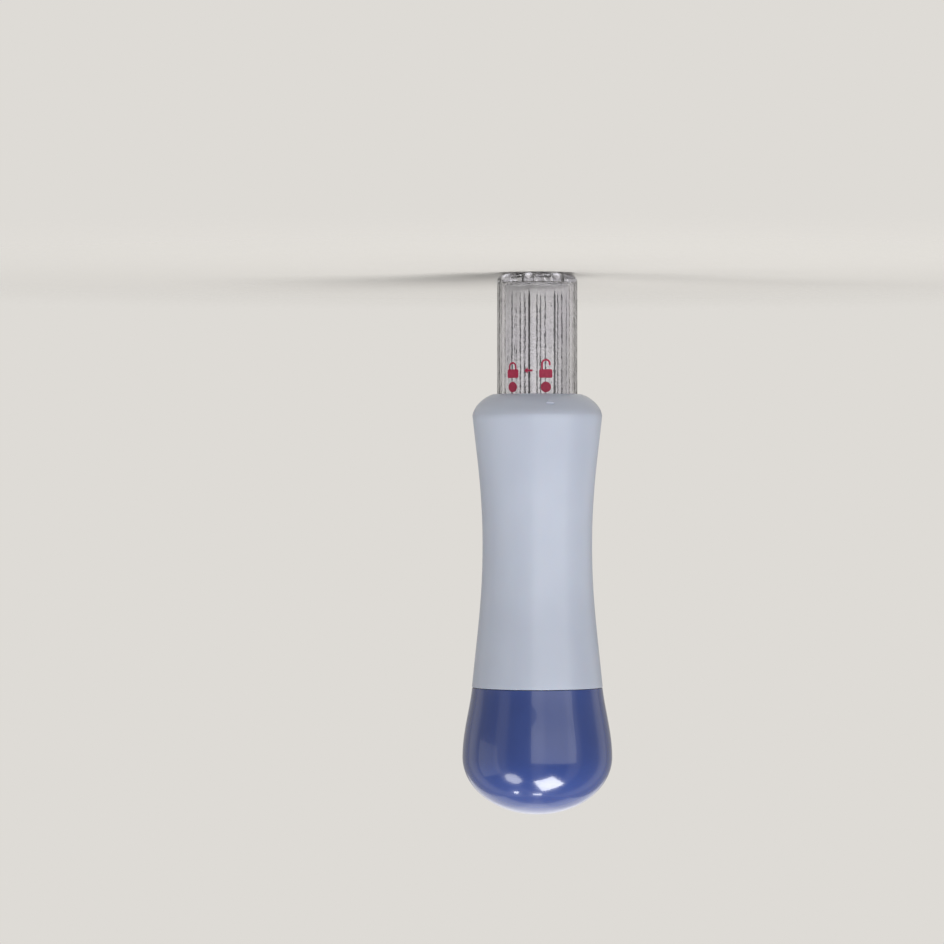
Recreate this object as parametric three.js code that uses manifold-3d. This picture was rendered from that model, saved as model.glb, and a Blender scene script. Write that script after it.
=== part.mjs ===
// A needle felting punch: a waisted handle that holds seven felting needles inside a clear, sprung guard.
// Pressed on the wool, the guard slides up into the handle and lets the needles out; turned, it locks.
// The palm cap unscrews from the handle's neck to reach the needles' cranked ends.
// Millimetres, +Z up. The punch stands on its guard: the origin is the centre of the guard's face.
// The front, where the pointer on the handle's shoulder is, faces -Y.
import * as THREE from "three";
import { mergeVertices } from "three/addons/utils/BufferGeometryUtils.js";
import Module from "manifold-3d";

const wasm = await Module();
wasm.setup();

const radians = THREE.MathUtils.degToRad;

// Clearances
const slideClearance = 0.3; // between pieces that slide or turn in each other
const seatGap = 0.1; // between flat faces that seat on each other
const fitGap = 0.1; // on the radius, between pieces pressed or glued together

// Needles: a three-edged blade, a thin stem, a shank and a crank
const needleLength = 78; // from the tip to the middle of the crank
const bladeRadius = 0.3;
const bladeLength = 24;
const tipLength = 1.5;
const tipRadius = 0.03;
const stemRadius = 0.6;
const stemLength = 18;
const taperLength = 3;
const shankRadius = 0.91;
const crankBend = 1.2;
const crankReach = 4.6; // from the needle's axis to the crank's end
const needleCircle = 5; // radius of the ring of needles
const ringNeedles = 6;
const tipRecess = 3; // the tips lie this far behind the guard's face
const needleSides = 9;
const crankSteps = 3; // in the crank's bend

// Guard
const needleRoom = 1.4; // from the ring of blades to the guard's wall
const guardWall = 1.3;
const guardReach = 23.9; // from the guard's face to the handle's mouth
const guardStroke = 13;
const guardRibs = 28;
const ribSteps = 4; // sides to each rib
const ribDepth = 0.3;
const ribRunOut = 0.4; // length over which the ribs rise from the plain tube
const faceThickness = 1.6;
const faceRounding = 1.6;
const needleHoleRoom = 0.15; // around a blade in the guard's face, at either end of the guard's turn

// Bayonet lock: two lugs on the guard run under ledges in a collar
const lugAngles = [-90, 90];
const lugHeight = 0.7;
const lugThickness = 2.2;
const lugAngle = 36;
const lugPlay = 2; // degrees beside a lug
const lockTurn = 50;
const rimAboveLugs = 0.6;
const ledgeThickness = 2.2;
const collarWall = 0.65;
const collarAboveLedges = 2;

// Return spring
const springWire = 0.8;
const springRoom = 0.9; // from the shanks to the spring
const springCurls = 10;
const springEndPitch = 1.35; // rise of the first and last curl
const springSteps = 8; // per curl
const springSides = 5;
const washerThickness = 1;
const washerInset = 0.5; // the washer's bore inside the spring's

// Handle
const lipThickness = 2.5;
const mouthFlat = 0.5; // flat ring round the mouth
const shoulderHeight = 4.3;
const mouthFlare = 2;
const waistWall = 1.3;
const waistAboveMouth = 30;
const seatStep = 0.5; // ledge under the needle block's flange
const neckHeight = 8.1;
const neckWall = 1.1;
const neckChamfer = 0.4;
const pointerWidth = 1.7;
const pointerLength = 1.7;
const pointerProud = 0.3;

// Needle block
const blockDepth = 16; // below its flange
const flangeUnderSlots = 2;
const shankRoom = 0.14;
const crankMargin = 0.5; // from a crank's end to the neck's bore

// Palm cap and its thread
const threadPitch = 2.8;
const threadHeight = 0.6;
const threadBase = 1.4;
const threadTip = 0.6;
const threadPlay = 0.3;
const threadTurns = 2;
const capThreadTurns = 1.5;
const threadStart = 1.5; // above the cap's joint
const threadSunk = 0.15; // the ridge's root lies this deep in its wall
const threadSteps = 24; // per turn
const threadFadeSteps = 3; // over which a ridge's ends run out
const capLipWall = 0.9;
const capWall = 2;
const bulbSwell = 1.9;
const bulbRise = 13.9; // from the joint to the widest place
const crownHeight = 11.4;
const skirtAboveNeck = 1;
const bossWall = 1.6;
const socketDepth = 1.4; // from the boss's end to the pin socket
const socketThickness = 1.9;
const socketStep = 0.6; // shoulder in the boss that the pin socket is pressed against

// Clamp plate, whose pin swivels in the socket
const plateThickness = 1.8;
const pinRadius = 2.4;
const pinHeadProud = 0.8;
const pinHeadHeight = 1.2;

// The outside's bends. Each is two points that its curve leans towards,
// as shares of the way out and up along its stretch.
const shoulderBend = [0.35, 0.1, 0.93, 0.47];
const flareBend = [0.4, 0.3, 1, 0.58];
const swellBend = [0, 0.36, 0.42, 0.57];
const bulbBend = [0.21, 0.29, 1, 0.64];

// Roundness
const roundSides = 48;
const holeSides = 12;
const bendSteps = 7;
const innerBendSteps = 6;
const cutOver = 1; // how far a cutter runs past what it cuts

// Heights
const crankZ = tipRecess + needleLength;
const slotFloorZ = crankZ - shankRadius - seatGap;
const blockTopZ = crankZ + shankRadius + seatGap;
const flangeBottomZ = slotFloorZ - flangeUnderSlots;
const blockBottomZ = flangeBottomZ - blockDepth;
const mouthZ = guardReach;
const lipTopZ = mouthZ + lipThickness;
const lugBottomZ = lipTopZ + slideClearance;
const lugTopZ = lugBottomZ + lugThickness;
const ledgeBottomZ = lugTopZ + slideClearance;
const ledgeTopZ = ledgeBottomZ + ledgeThickness;
const collarTopZ = ledgeTopZ + collarAboveLedges;
const guardTopZ = lugTopZ + rimAboveLugs;
const washerZ = guardTopZ + seatGap;
const springZ = washerZ + washerThickness + seatGap;
const splitZ = blockTopZ + seatGap;
const plateZ = blockTopZ + seatGap;
const capZ = splitZ + seatGap;
const bossZ = plateZ + plateThickness + seatGap;
const socketZ = bossZ + socketDepth;
const socketTopZ = socketZ + socketThickness;
const skirtBottomZ = lugTopZ + guardStroke + slideClearance;
const neckTopZ = splitZ + neckHeight;
const waistZ = mouthZ + waistAboveMouth;
const bulbZ = splitZ + bulbRise;
const crownZ = bulbZ + crownHeight;

// Radii, from the needles outwards
const guardBore = needleCircle + bladeRadius + needleRoom;
const guardRadius = guardBore + guardWall;
const guardRearRadius = guardRadius - ribDepth;
const lockedMiss = radians(Math.abs(lockTurn - 360 / ringNeedles)); // from a locked hole to the nearest needle
const faceHoleRadius = bladeRadius + 2 * needleCircle * Math.sin(lockedMiss / 2) + needleHoleRoom;
const mouthBore = guardRadius + slideClearance;
const lugRadius = guardRadius + lugHeight;
const collarBore = lugRadius + slideClearance / 2;
const collarRadius = collarBore + collarWall;
const gripBore = collarRadius + fitGap;
const waistRadius = gripBore + waistWall;
const mouthRadius = waistRadius + mouthFlare;
const neckBore = Math.max(gripBore + seatStep, needleCircle + crankReach + crankMargin);
const neckRadius = neckBore + neckWall;
const threadCrest = neckRadius + threadHeight;
const capBore = threadCrest + threadPlay;
const splitRadius = capBore + capLipWall;
const bulbRadius = splitRadius + bulbSwell;
const springRadius = needleCircle + shankRadius + springRoom + springWire / 2;
const bossRadius = neckBore - 3 * slideClearance;
const bossBore = bossRadius - bossWall;
const socketBore = pinRadius + slideClearance;

// Helpers

const point = (r, z) => new THREE.Vector2(r, z);

// Turns a closed three.js geometry into a manifold solid that faces outwards.
function solid(geometry) {
  const bare = geometry.clone();
  bare.deleteAttribute("normal");
  bare.deleteAttribute("uv");
  const merged = mergeVertices(bare);
  const corners = merged.index.array;
  const facing = (flip) => {
    const triangles = [];
    for (let i = 0; i < corners.length; i += 3) {
      const [a, b, c] = [corners[i], corners[i + 1], corners[i + 2]];
      if (a === b || b === c || c === a) continue;
      triangles.push(...(flip ? [a, c, b] : [a, b, c]));
    }
    return new wasm.Manifold(
      new wasm.Mesh({
        numProp: 3,
        vertProperties: new Float32Array(merged.attributes.position.array),
        triVerts: new Uint32Array(triangles),
      }),
    );
  };
  const made = facing(false);
  return made.volume() > 0 ? made : facing(true);
}

// A solid of revolution about Z, from points of radius and height.
function turned(profile, sides = roundSides) {
  return solid(new THREE.LatheGeometry(profile, sides).rotateX(Math.PI / 2));
}

function tube(innerRadius, outerRadius, bottomZ, topZ, sides = roundSides) {
  const profile = [
    point(innerRadius, bottomZ),
    point(outerRadius, bottomZ),
    point(outerRadius, topZ),
    point(innerRadius, topZ),
    point(innerRadius, bottomZ),
  ];
  return turned(profile, sides);
}

function rod(radius, bottomZ, topZ, x = 0, y = 0, sides = holeSides) {
  const geometry = new THREE.CylinderGeometry(radius, radius, topZ - bottomZ, sides);
  return solid(geometry.rotateX(Math.PI / 2).translate(x, y, (bottomZ + topZ) / 2));
}

// Part of a ring between two angles, in degrees from +X towards +Y.
function ringPart(innerRadius, outerRadius, bottomZ, topZ, startAngle, endAngle) {
  const shape = new THREE.Shape();
  shape.absarc(0, 0, outerRadius, radians(startAngle), radians(endAngle), false);
  shape.absarc(0, 0, innerRadius, radians(endAngle), radians(startAngle), true);
  const steps = Math.ceil(((endAngle - startAngle) / 360) * roundSides);
  const geometry = new THREE.ExtrudeGeometry(shape, {
    depth: topZ - bottomZ,
    bevelEnabled: false,
    curveSegments: steps,
  });
  return solid(geometry.translate(0, 0, bottomZ));
}

// A closed bar through stations: each has a centre, two axes and an outline in them.
function swept(stations) {
  const sides = stations[0].outline.length;
  const positions = [];
  for (const { centre, u, v, outline } of stations) {
    for (const [a, b] of outline) {
      const corner = centre.clone().addScaledVector(u, a).addScaledVector(v, b);
      positions.push(corner.x, corner.y, corner.z);
    }
  }
  const index = [];
  for (let s = 0; s + 1 < stations.length; s++) {
    for (let k = 0; k < sides; k++) {
      const [a, b] = [s * sides + k, s * sides + ((k + 1) % sides)];
      index.push(a, b, b + sides, a, b + sides, a + sides);
    }
  }
  const last = (stations.length - 1) * sides;
  for (let k = 1; k + 1 < sides; k++) {
    index.push(0, k + 1, k, last, last + k, last + k + 1);
  }
  const geometry = new THREE.BufferGeometry();
  geometry.setAttribute("position", new THREE.Float32BufferAttribute(positions, 3));
  return solid(geometry.setIndex(index));
}

function roundOutline(radius, sides) {
  return Array.from({ length: sides }, (_, k) => {
    const angle = (2 * Math.PI * k) / sides;
    return [radius * Math.cos(angle), radius * Math.sin(angle)];
  });
}

// A named mesh from a manifold solid.
function piece(name, made, material) {
  const { numProp, vertProperties, triVerts } = made.getMesh();
  const positions = [];
  for (const corner of triVerts) {
    positions.push(...vertProperties.subarray(corner * numProp, corner * numProp + 3));
  }
  const geometry = new THREE.BufferGeometry();
  geometry.setAttribute("position", new THREE.Float32BufferAttribute(positions, 3));
  geometry.computeVertexNormals();
  const mesh = new THREE.Mesh(geometry, material);
  mesh.name = name;
  return mesh;
}

// Materials

const paleBlue = new THREE.MeshStandardMaterial({ color: 0xb4c3da, roughness: 0.42 });
const darkBlue = new THREE.MeshStandardMaterial({ color: 0x2c3f86, roughness: 0.18 });
const clear = new THREE.MeshStandardMaterial({
  color: 0xeef2f2,
  roughness: 0.06,
  transparent: true,
  opacity: 0.35,
});
const white = new THREE.MeshStandardMaterial({ color: 0xe9e9e4, roughness: 0.5 });
const steel = new THREE.MeshStandardMaterial({
  color: 0x9a9a9c,
  roughness: 0.28,
  metalness: 1,
});
const springSteel = new THREE.MeshStandardMaterial({
  color: 0xb9babd,
  roughness: 0.22,
  metalness: 1,
});

// The outside of the handle and cap, as curves of radius over height

function bend(fromR, fromZ, toR, toZ, [outA, upA, outB, upB]) {
  const lean = (out, up) => point(fromR + out * (toR - fromR), fromZ + up * (toZ - fromZ));
  return new THREE.CubicBezierCurve(
    point(fromR, fromZ),
    lean(outA, upA),
    lean(outB, upB),
    point(toR, toZ),
  );
}

const shoulderZ = mouthZ + shoulderHeight;
const shoulderCurve = bend(mouthBore + mouthFlat, mouthZ, mouthRadius, shoulderZ, shoulderBend);
const flareCurve = bend(mouthRadius, shoulderZ, waistRadius, waistZ, flareBend);
const swellCurve = bend(waistRadius, waistZ, splitRadius, splitZ, swellBend);
const bulbCurve = bend(splitRadius, capZ, bulbRadius, bulbZ, bulbBend);

// A quarter of an ellipse, from its widest place up to the axis.
function domeCurve(radius, baseZ, height) {
  return new THREE.EllipseCurve(0, baseZ, radius, height, 0, Math.PI / 2, false, 0);
}

// Handle

// The raised triangle on the shoulder that the guard's marks are turned to.
function pointerSolid() {
  const middle = shoulderCurve.getPoint(0.5);
  const along = shoulderCurve.getTangent(0.5);
  const shape = new THREE.Shape([
    new THREE.Vector2(0, -pointerLength / 2),
    new THREE.Vector2(pointerWidth / 2, pointerLength / 2),
    new THREE.Vector2(-pointerWidth / 2, pointerLength / 2),
  ]);
  const geometry = new THREE.ExtrudeGeometry(shape, {
    depth: 2 * pointerProud,
    bevelEnabled: false,
  });
  const up = new THREE.Vector3(0, -along.x, along.y);
  const across = new THREE.Vector3(1, 0, 0);
  const out = across.clone().cross(up);
  const turn = new THREE.Matrix4().makeBasis(across, up, out);
  const foot = new THREE.Vector3(0, -middle.x, middle.y).addScaledVector(out, -pointerProud);
  turn.setPosition(foot);
  return solid(geometry.applyMatrix4(turn));
}

// A trapezoid ridge that climbs round Z. side is 1 on the outside of a neck and -1 inside a bore.
function threadRidge(radius, side, startZ, turns) {
  const steps = Math.round(turns * threadSteps);
  const stations = [];
  for (let s = 0; s <= steps; s++) {
    const angle = (2 * Math.PI * s) / threadSteps;
    const toEnd = Math.min(s, steps - s);
    const fade = Math.min(1, (toEnd + 1) / (threadFadeSteps + 1));
    const outward = new THREE.Vector3(Math.cos(angle), Math.sin(angle), 0);
    const z = startZ + (threadPitch * s) / threadSteps;
    stations.push({
      centre: outward.clone().multiplyScalar(radius).setZ(z),
      u: outward.multiplyScalar(side),
      v: new THREE.Vector3(0, 0, 1),
      outline: [
        [-threadSunk, -threadBase / 2],
        [threadHeight * fade, -threadTip / 2],
        [threadHeight * fade, threadTip / 2],
        [-threadSunk, threadBase / 2],
      ],
    });
  }
  return swept(stations);
}

function gripBody() {
  const profile = [
    point(mouthBore, mouthZ),
    ...shoulderCurve.getPoints(bendSteps),
    ...flareCurve.getPoints(bendSteps).slice(1),
    ...swellCurve.getPoints(bendSteps).slice(1),
    point(neckRadius, splitZ),
    point(neckRadius, neckTopZ - neckChamfer),
    point(neckRadius - neckChamfer, neckTopZ),
    point(neckBore, neckTopZ),
    point(neckBore, flangeBottomZ - seatGap),
    point(gripBore, flangeBottomZ - seatGap),
    point(gripBore, lipTopZ),
    point(mouthBore, lipTopZ),
    point(mouthBore, mouthZ),
  ];
  const ridge = threadRidge(neckRadius, 1, splitZ + threadStart, threadTurns);
  return turned(profile).add(ridge).add(pointerSolid());
}

// The collar that the guard's lugs lock in. At their height, stops bound the turn. Above it, ledges
// leave a way up for the lugs only where the guard is unlocked.
function lockCollar() {
  const reach = lugAngle / 2 + lugPlay;
  let made = tube(collarBore, collarRadius, lipTopZ + seatGap, collarTopZ);
  const sunkRadius = collarBore + collarWall / 2;
  for (const front of lugAngles) {
    const stop = [front + reach, front + 180 - lockTurn - reach];
    const ledge = [front + reach, front + 180 - reach];
    made = made
      .add(ringPart(mouthBore, sunkRadius, lipTopZ + seatGap, ledgeTopZ, ...stop))
      .add(ringPart(mouthBore, sunkRadius, ledgeBottomZ, ledgeTopZ, ...ledge));
  }
  return made;
}

// Guard

// A cross-section of the guard: a circle, or shallow arches that meet in narrow grooves.
function guardSection(z, radius, depth) {
  const sides = guardRibs * ribSteps;
  const outline = roundOutline(1, sides).map(([a, b], k) => {
    const fromCrest = ((k % ribSteps) / ribSteps) * 2 - 1;
    const r = radius - depth * fromCrest * fromCrest;
    return [a * r, b * r];
  });
  return {
    centre: new THREE.Vector3(0, 0, z),
    u: new THREE.Vector3(1, 0, 0),
    v: new THREE.Vector3(0, 1, 0),
    outline,
  };
}

// The ribs run from behind the face's rounded rim to the plain rear, which carries the two lugs.
function guardTube() {
  const rim = new THREE.EllipseCurve(
    guardRadius - faceRounding,
    faceRounding,
    faceRounding,
    faceRounding,
    -Math.PI / 2,
    0,
  );
  const rearZ = lugBottomZ - ribRunOut;
  let made = swept([
    ...rim.getPoints(innerBendSteps).map((p) => guardSection(p.y, p.x, 0)),
    guardSection(faceRounding + ribRunOut, guardRadius, ribDepth),
    guardSection(rearZ, guardRadius, ribDepth),
    guardSection(lugBottomZ, guardRearRadius, 0),
    guardSection(guardTopZ, guardRearRadius, 0),
  ]);
  const sunkRadius = guardRearRadius - guardWall / 2;
  for (const front of lugAngles) {
    const [start, end] = [front - lugAngle / 2, front + lugAngle / 2];
    made = made.add(ringPart(sunkRadius, lugRadius, lugBottomZ, lugTopZ, start, end));
  }
  made = made.subtract(rod(guardBore, faceThickness, guardTopZ + cutOver, 0, 0, roundSides));
  for (const { x, y } of needlePlaces()) {
    made = made.subtract(rod(faceHoleRadius, -cutOver, faceThickness + cutOver, x, y));
  }
  return made;
}

function thrustWasher() {
  const inner = springRadius - springWire / 2 - washerInset;
  return tube(inner, mouthBore - slideClearance, 0, washerThickness);
}

// A compression spring: the first and last curl lie close, the rest share the length between them.
function returnSpring() {
  const length = blockBottomZ - springZ - seatGap - springWire;
  const openPitch = (length - 2 * springEndPitch) / (springCurls - 2);
  const steps = springCurls * springSteps;
  const rise = [0];
  for (let s = 0; s < steps; s++) {
    const inEndCurl = s < springSteps || s >= steps - springSteps;
    rise.push(rise[s] + (inEndCurl ? springEndPitch : openPitch) / springSteps);
  }
  const centres = rise.map((z, s) => {
    const angle = (2 * Math.PI * s) / springSteps;
    const [x, y] = [springRadius * Math.cos(angle), springRadius * Math.sin(angle)];
    return new THREE.Vector3(x, y, z + springWire / 2);
  });
  let least = Infinity;
  centres.forEach((a, i) => {
    centres.slice(i + springSteps / 2).forEach((b) => {
      least = Math.min(least, a.distanceTo(b) - springWire);
    });
  });
  console.log("spring: least gap to itself " + least.toFixed(2) + " mm");
  const stations = centres.map((centre) => ({
    centre,
    u: new THREE.Vector3(centre.x, centre.y, 0).normalize(),
    v: new THREE.Vector3(0, 0, 1),
    outline: roundOutline(springWire / 2, springSides),
  }));
  return swept(stations);
}

// Needles

// The centre needle and the ring, each with the direction that its crank points in.
function needlePlaces() {
  const step = 360 / ringNeedles;
  const ring = Array.from({ length: ringNeedles }, (_, k) => {
    const angle = k * step;
    const [x, y] = [Math.cos(radians(angle)), Math.sin(radians(angle))];
    return { x: needleCircle * x, y: needleCircle * y, angle };
  });
  return [{ x: 0, y: 0, angle: step / 2 }, ...ring];
}

// Three flat sides between three edges, in as many corners as the round sections have.
function bladeOutline() {
  const flatRadius = bladeRadius * Math.cos(Math.PI / 3);
  return roundOutline(1, needleSides).map(([a, b], k) => {
    const fromEdge = ((2 * Math.PI * k) / needleSides) % ((2 * Math.PI) / 3);
    const radius = flatRadius / Math.cos(fromEdge - Math.PI / 3);
    return [a * radius, b * radius];
  });
}

// One needle, its tip at the origin and its crank pointing along +X.
function needle() {
  const station = (x, z, tilt, outline) => ({
    centre: new THREE.Vector3(x, 0, z),
    u: new THREE.Vector3(Math.cos(tilt), 0, -Math.sin(tilt)),
    v: new THREE.Vector3(0, 1, 0),
    outline,
  });
  const stemZ = bladeLength + taperLength;
  const shankZ = stemZ + stemLength + taperLength;
  const bendZ = needleLength - crankBend;
  const shank = roundOutline(shankRadius, needleSides);
  const stations = [
    station(0, 0, 0, roundOutline(tipRadius, needleSides)),
    station(0, tipLength, 0, bladeOutline()),
    station(0, bladeLength, 0, bladeOutline()),
    station(0, stemZ, 0, roundOutline(stemRadius, needleSides)),
    station(0, stemZ + stemLength, 0, roundOutline(stemRadius, needleSides)),
    station(0, shankZ, 0, shank),
  ];
  for (let k = 0; k <= crankSteps; k++) {
    const tilt = (Math.PI / 2) * (k / crankSteps);
    const x = crankBend * (1 - Math.cos(tilt));
    stations.push(station(x, bendZ + crankBend * Math.sin(tilt), tilt, shank));
  }
  stations.push(station(crankReach, needleLength, Math.PI / 2, shank));
  return swept(stations);
}

// The plug that the shanks stand in, with a slot across its flange for each crank.
// Its skirt goes round the spring, and stops the guard's lugs at the end of the stroke.
function needleBlock() {
  const blockRadius = gripBore - fitGap;
  const flangeRadius = neckBore - slideClearance;
  let made = turned([
    point(0, blockBottomZ),
    point(mouthBore, blockBottomZ),
    point(mouthBore, skirtBottomZ),
    point(blockRadius, skirtBottomZ),
    point(blockRadius, flangeBottomZ),
    point(flangeRadius, flangeBottomZ),
    point(flangeRadius, blockTopZ),
    point(0, blockTopZ),
  ]);
  const holeRadius = shankRadius + shankRoom;
  const slotLength = crankReach + cutOver;
  const slotDepth = blockTopZ - slotFloorZ + cutOver;
  for (const { x, y, angle } of needlePlaces()) {
    const slot = new THREE.BoxGeometry(slotLength, 2 * holeRadius, slotDepth)
      .translate(slotLength / 2, 0, slotFloorZ + slotDepth / 2)
      .rotateZ(radians(angle))
      .translate(x, y, 0);
    made = made
      .subtract(rod(holeRadius, blockBottomZ - cutOver, blockTopZ + cutOver, x, y))
      .subtract(solid(slot));
  }
  return made;
}

// Palm cap

// The plate that holds the cranks down. Its pin snaps into the socket, so it lifts with the cap.
function clampPlate() {
  const plateRadius = neckBore - slideClearance;
  const headZ = socketTopZ + slideClearance - plateZ;
  return turned([
    point(0, 0),
    point(plateRadius, 0),
    point(plateRadius, plateThickness),
    point(pinRadius, plateThickness),
    point(pinRadius, headZ),
    point(pinRadius + pinHeadProud, headZ),
    point(pinRadius, headZ + pinHeadHeight),
    point(0, headZ + pinHeadHeight),
  ]);
}

// The ring pressed into the cap's boss, which the clamp plate's pin turns in.
function pinSocket() {
  return tube(socketBore, bossBore - fitGap, 0, socketThickness);
}

// The cap: a hollow bulb with a boss inside that presses on the clamp plate, and a threaded skirt.
function palmCap() {
  const insideRadius = bulbRadius - capWall;
  const insideHeight = crownHeight - capWall;
  const insideZ = (r) => bulbZ + insideHeight * Math.sqrt(1 - (r / insideRadius) ** 2);
  const inside = domeCurve(insideRadius, bulbZ, insideHeight).getPoints(innerBendSteps);
  const stepBore = bossBore - socketStep;
  const profile = [
    point(0, bulbZ + insideHeight),
    ...inside.slice(0, -1).filter((p) => p.x < stepBore).reverse(),
    point(stepBore, insideZ(stepBore)),
    point(stepBore, socketTopZ + seatGap),
    point(bossBore, socketTopZ + seatGap),
    point(bossBore, bossZ),
    point(bossRadius, bossZ),
    point(bossRadius, insideZ(bossRadius)),
    ...inside.filter((p) => p.x > bossRadius).reverse(),
    point(capBore, neckTopZ + skirtAboveNeck),
    point(capBore, capZ),
    ...bulbCurve.getPoints(bendSteps),
    ...domeCurve(bulbRadius, bulbZ, crownHeight).getPoints(bendSteps).slice(1, -1),
    point(0, crownZ),
  ];
  const ridgeZ = splitZ + threadStart + threadPitch / 2;
  return turned(profile).add(threadRidge(capBore, -1, ridgeZ, capThreadTurns));
}

// Assembly

const punch = new THREE.Group();

const handle = new THREE.Group();
handle.add(piece("grip_body", gripBody(), paleBlue));
handle.add(piece("lock_collar", lockCollar(), white));
handle.add(piece("needle_block", needleBlock(), white));
const spring = piece("return_spring", returnSpring(), springSteel);
spring.position.z = springZ;
handle.add(spring);
needlePlaces().forEach(({ x, y, angle }, k) => {
  const mesh = piece(k === 0 ? "needle_centre" : "needle_ring_" + k, needle(), steel);
  mesh.position.set(x, y, tipRecess);
  mesh.rotation.z = radians(angle);
  handle.add(mesh);
});
punch.add(handle);

const sliding = new THREE.Group();
const washer = piece("thrust_washer", thrustWasher(), white);
washer.position.z = washerZ;
sliding.add(washer);
sliding.add(piece("guard_tube", guardTube(), clear));
punch.add(sliding);

const top = new THREE.Group();
const plate = piece("clamp_plate", clampPlate(), white);
plate.position.z = plateZ;
top.add(plate);
top.add(piece("palm_cap", palmCap(), darkBlue));
const socket = piece("pin_socket", pinSocket(), white);
socket.position.z = socketZ;
top.add(socket);
punch.add(top);

console.log("guard stroke " + guardStroke + " mm, overall height " + crownZ.toFixed(2) + " mm");

export default punch;
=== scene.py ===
# A felting needle punch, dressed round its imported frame.
# Sizes are in millimetres. Heights count up from the guard's face, and the pointer faces -Y.
import math

import bmesh
import bpy
from mathutils import Matrix, Vector


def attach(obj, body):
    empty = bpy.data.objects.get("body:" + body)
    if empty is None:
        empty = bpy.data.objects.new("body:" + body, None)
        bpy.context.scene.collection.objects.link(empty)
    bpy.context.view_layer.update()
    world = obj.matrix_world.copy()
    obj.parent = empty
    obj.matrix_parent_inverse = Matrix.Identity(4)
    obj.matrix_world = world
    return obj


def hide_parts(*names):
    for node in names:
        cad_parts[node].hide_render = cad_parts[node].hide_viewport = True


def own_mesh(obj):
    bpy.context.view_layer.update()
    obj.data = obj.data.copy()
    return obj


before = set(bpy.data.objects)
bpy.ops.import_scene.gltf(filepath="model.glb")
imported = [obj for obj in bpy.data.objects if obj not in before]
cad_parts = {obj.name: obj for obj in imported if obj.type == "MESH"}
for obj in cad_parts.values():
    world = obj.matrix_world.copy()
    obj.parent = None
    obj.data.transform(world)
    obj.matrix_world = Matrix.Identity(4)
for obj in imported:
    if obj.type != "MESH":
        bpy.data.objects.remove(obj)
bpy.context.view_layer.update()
mm = 0.001
zAxis = Vector((0, 0, 1))
print("frame loaded,", len(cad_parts), "solids")


# Mesh tools

meshing = {
    "onAxis": 1e-6,  # a smaller radius than this is a point on the axis
    "weldReach": 2e-7,  # in metres: nearer points become one
    "filletShare": 0.48,  # of an edge, at most
    "filletSteps": 4, "sharp": 32,
    "partStepAngle": 2.5, "partFewestSteps": 4, "partFilletSteps": 3,
}


def turnedTo(angle, radius=1.0, height=0.0):
    return Vector((radius * math.cos(angle), radius * math.sin(angle), height))


def quarterTurn(steps):
    return [math.pi / 2 * k / steps for k in range(steps + 1)]


def smoothStep(value, low, high):
    t = min(1, max(0, (value - low) / (high - low)))
    return t * t * (3 - 2 * t)


def softened(corners, steps=meshing["filletSteps"]):
    # a corner is (radius, height), or (radius, height, fillet) where its edge is rounded
    line = []
    for i, corner in enumerate(corners):
        here = Vector(corner[:2])
        if len(corner) == 2:
            line.append(here)
            continue
        back = Vector(corners[i - 1][:2]) - here
        on = Vector(corners[(i + 1) % len(corners)][:2]) - here
        reach = min(corner[2], back.length * meshing["filletShare"], on.length * meshing["filletShare"])
        start, end = here + back.normalized() * reach, here + on.normalized() * reach
        for k in range(steps + 1):
            t = k / steps
            line.append(start.lerp(here, t).lerp(here.lerp(end, t), t))
    return line


def leaning(start, end, lean, steps):
    # a curve between two points, bent towards two shares of the way out and up
    a, d = Vector(start), Vector(end)
    b = Vector((a.x + lean[0] * (d.x - a.x), a.y + lean[1] * (d.y - a.y)))
    c = Vector((a.x + lean[2] * (d.x - a.x), a.y + lean[3] * (d.y - a.y)))
    line = []
    for k in range(steps + 1):
        t = k / steps
        s = 1 - t
        line.append(a * s ** 3 + b * 3 * s * s * t + c * 3 * s * t * t + d * t ** 3)
    return line


def circleOutline(radius, sides):
    outline = []
    for k in range(sides):
        angle = 2 * math.pi * k / sides
        outline.append((radius * math.cos(angle), radius * math.sin(angle)))
    return outline


def addSpin(mesh, line, sides, closed=True, ripple=None):
    # turns a line of (radius, height) about Z; ripple can move the radius at an angle
    rings = []
    for radius, height in line:
        if radius < meshing["onAxis"]:
            rings.append([mesh.verts.new((0, 0, height * mm))])
            continue
        ring = []
        for k in range(sides):
            angle = 2 * math.pi * k / sides
            r = ripple(radius, height, angle) if ripple else radius
            ring.append(mesh.verts.new(turnedTo(angle, r, height) * mm))
        rings.append(ring)
    pairs = list(zip(rings, rings[1:]))
    if closed:
        pairs.append((rings[-1], rings[0]))
    else:
        for ring in (rings[0], rings[-1]):
            if len(ring) > 1:
                mesh.faces.new(ring)
    for low, high in pairs:
        for k in range(sides):
            n = (k + 1) % sides
            corners = [low[0]] if len(low) == 1 else [low[k], low[n]]
            corners += [high[0]] if len(high) == 1 else [high[n], high[k]]
            if len(corners) > 2:
                mesh.faces.new(corners)


def addSweep(mesh, stations):
    # a closed bar; a station is (centre, across, up, outline)
    rings = []
    for centre, across, up, outline in stations:
        rings.append([mesh.verts.new((centre + across * a + up * b) * mm) for a, b in outline])
    for low, high in zip(rings, rings[1:]):
        for k in range(len(low)):
            n = (k + 1) % len(low)
            mesh.faces.new((low[k], low[n], high[n], high[k]))
    mesh.faces.new(rings[0])
    mesh.faces.new(list(reversed(rings[-1])))


def weld(mesh):
    # points that fall together become one, and the slivers between them go
    bmesh.ops.remove_doubles(mesh, verts=mesh.verts, dist=meshing["weldReach"])
    bmesh.ops.dissolve_degenerate(mesh, edges=mesh.edges, dist=meshing["weldReach"])


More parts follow.
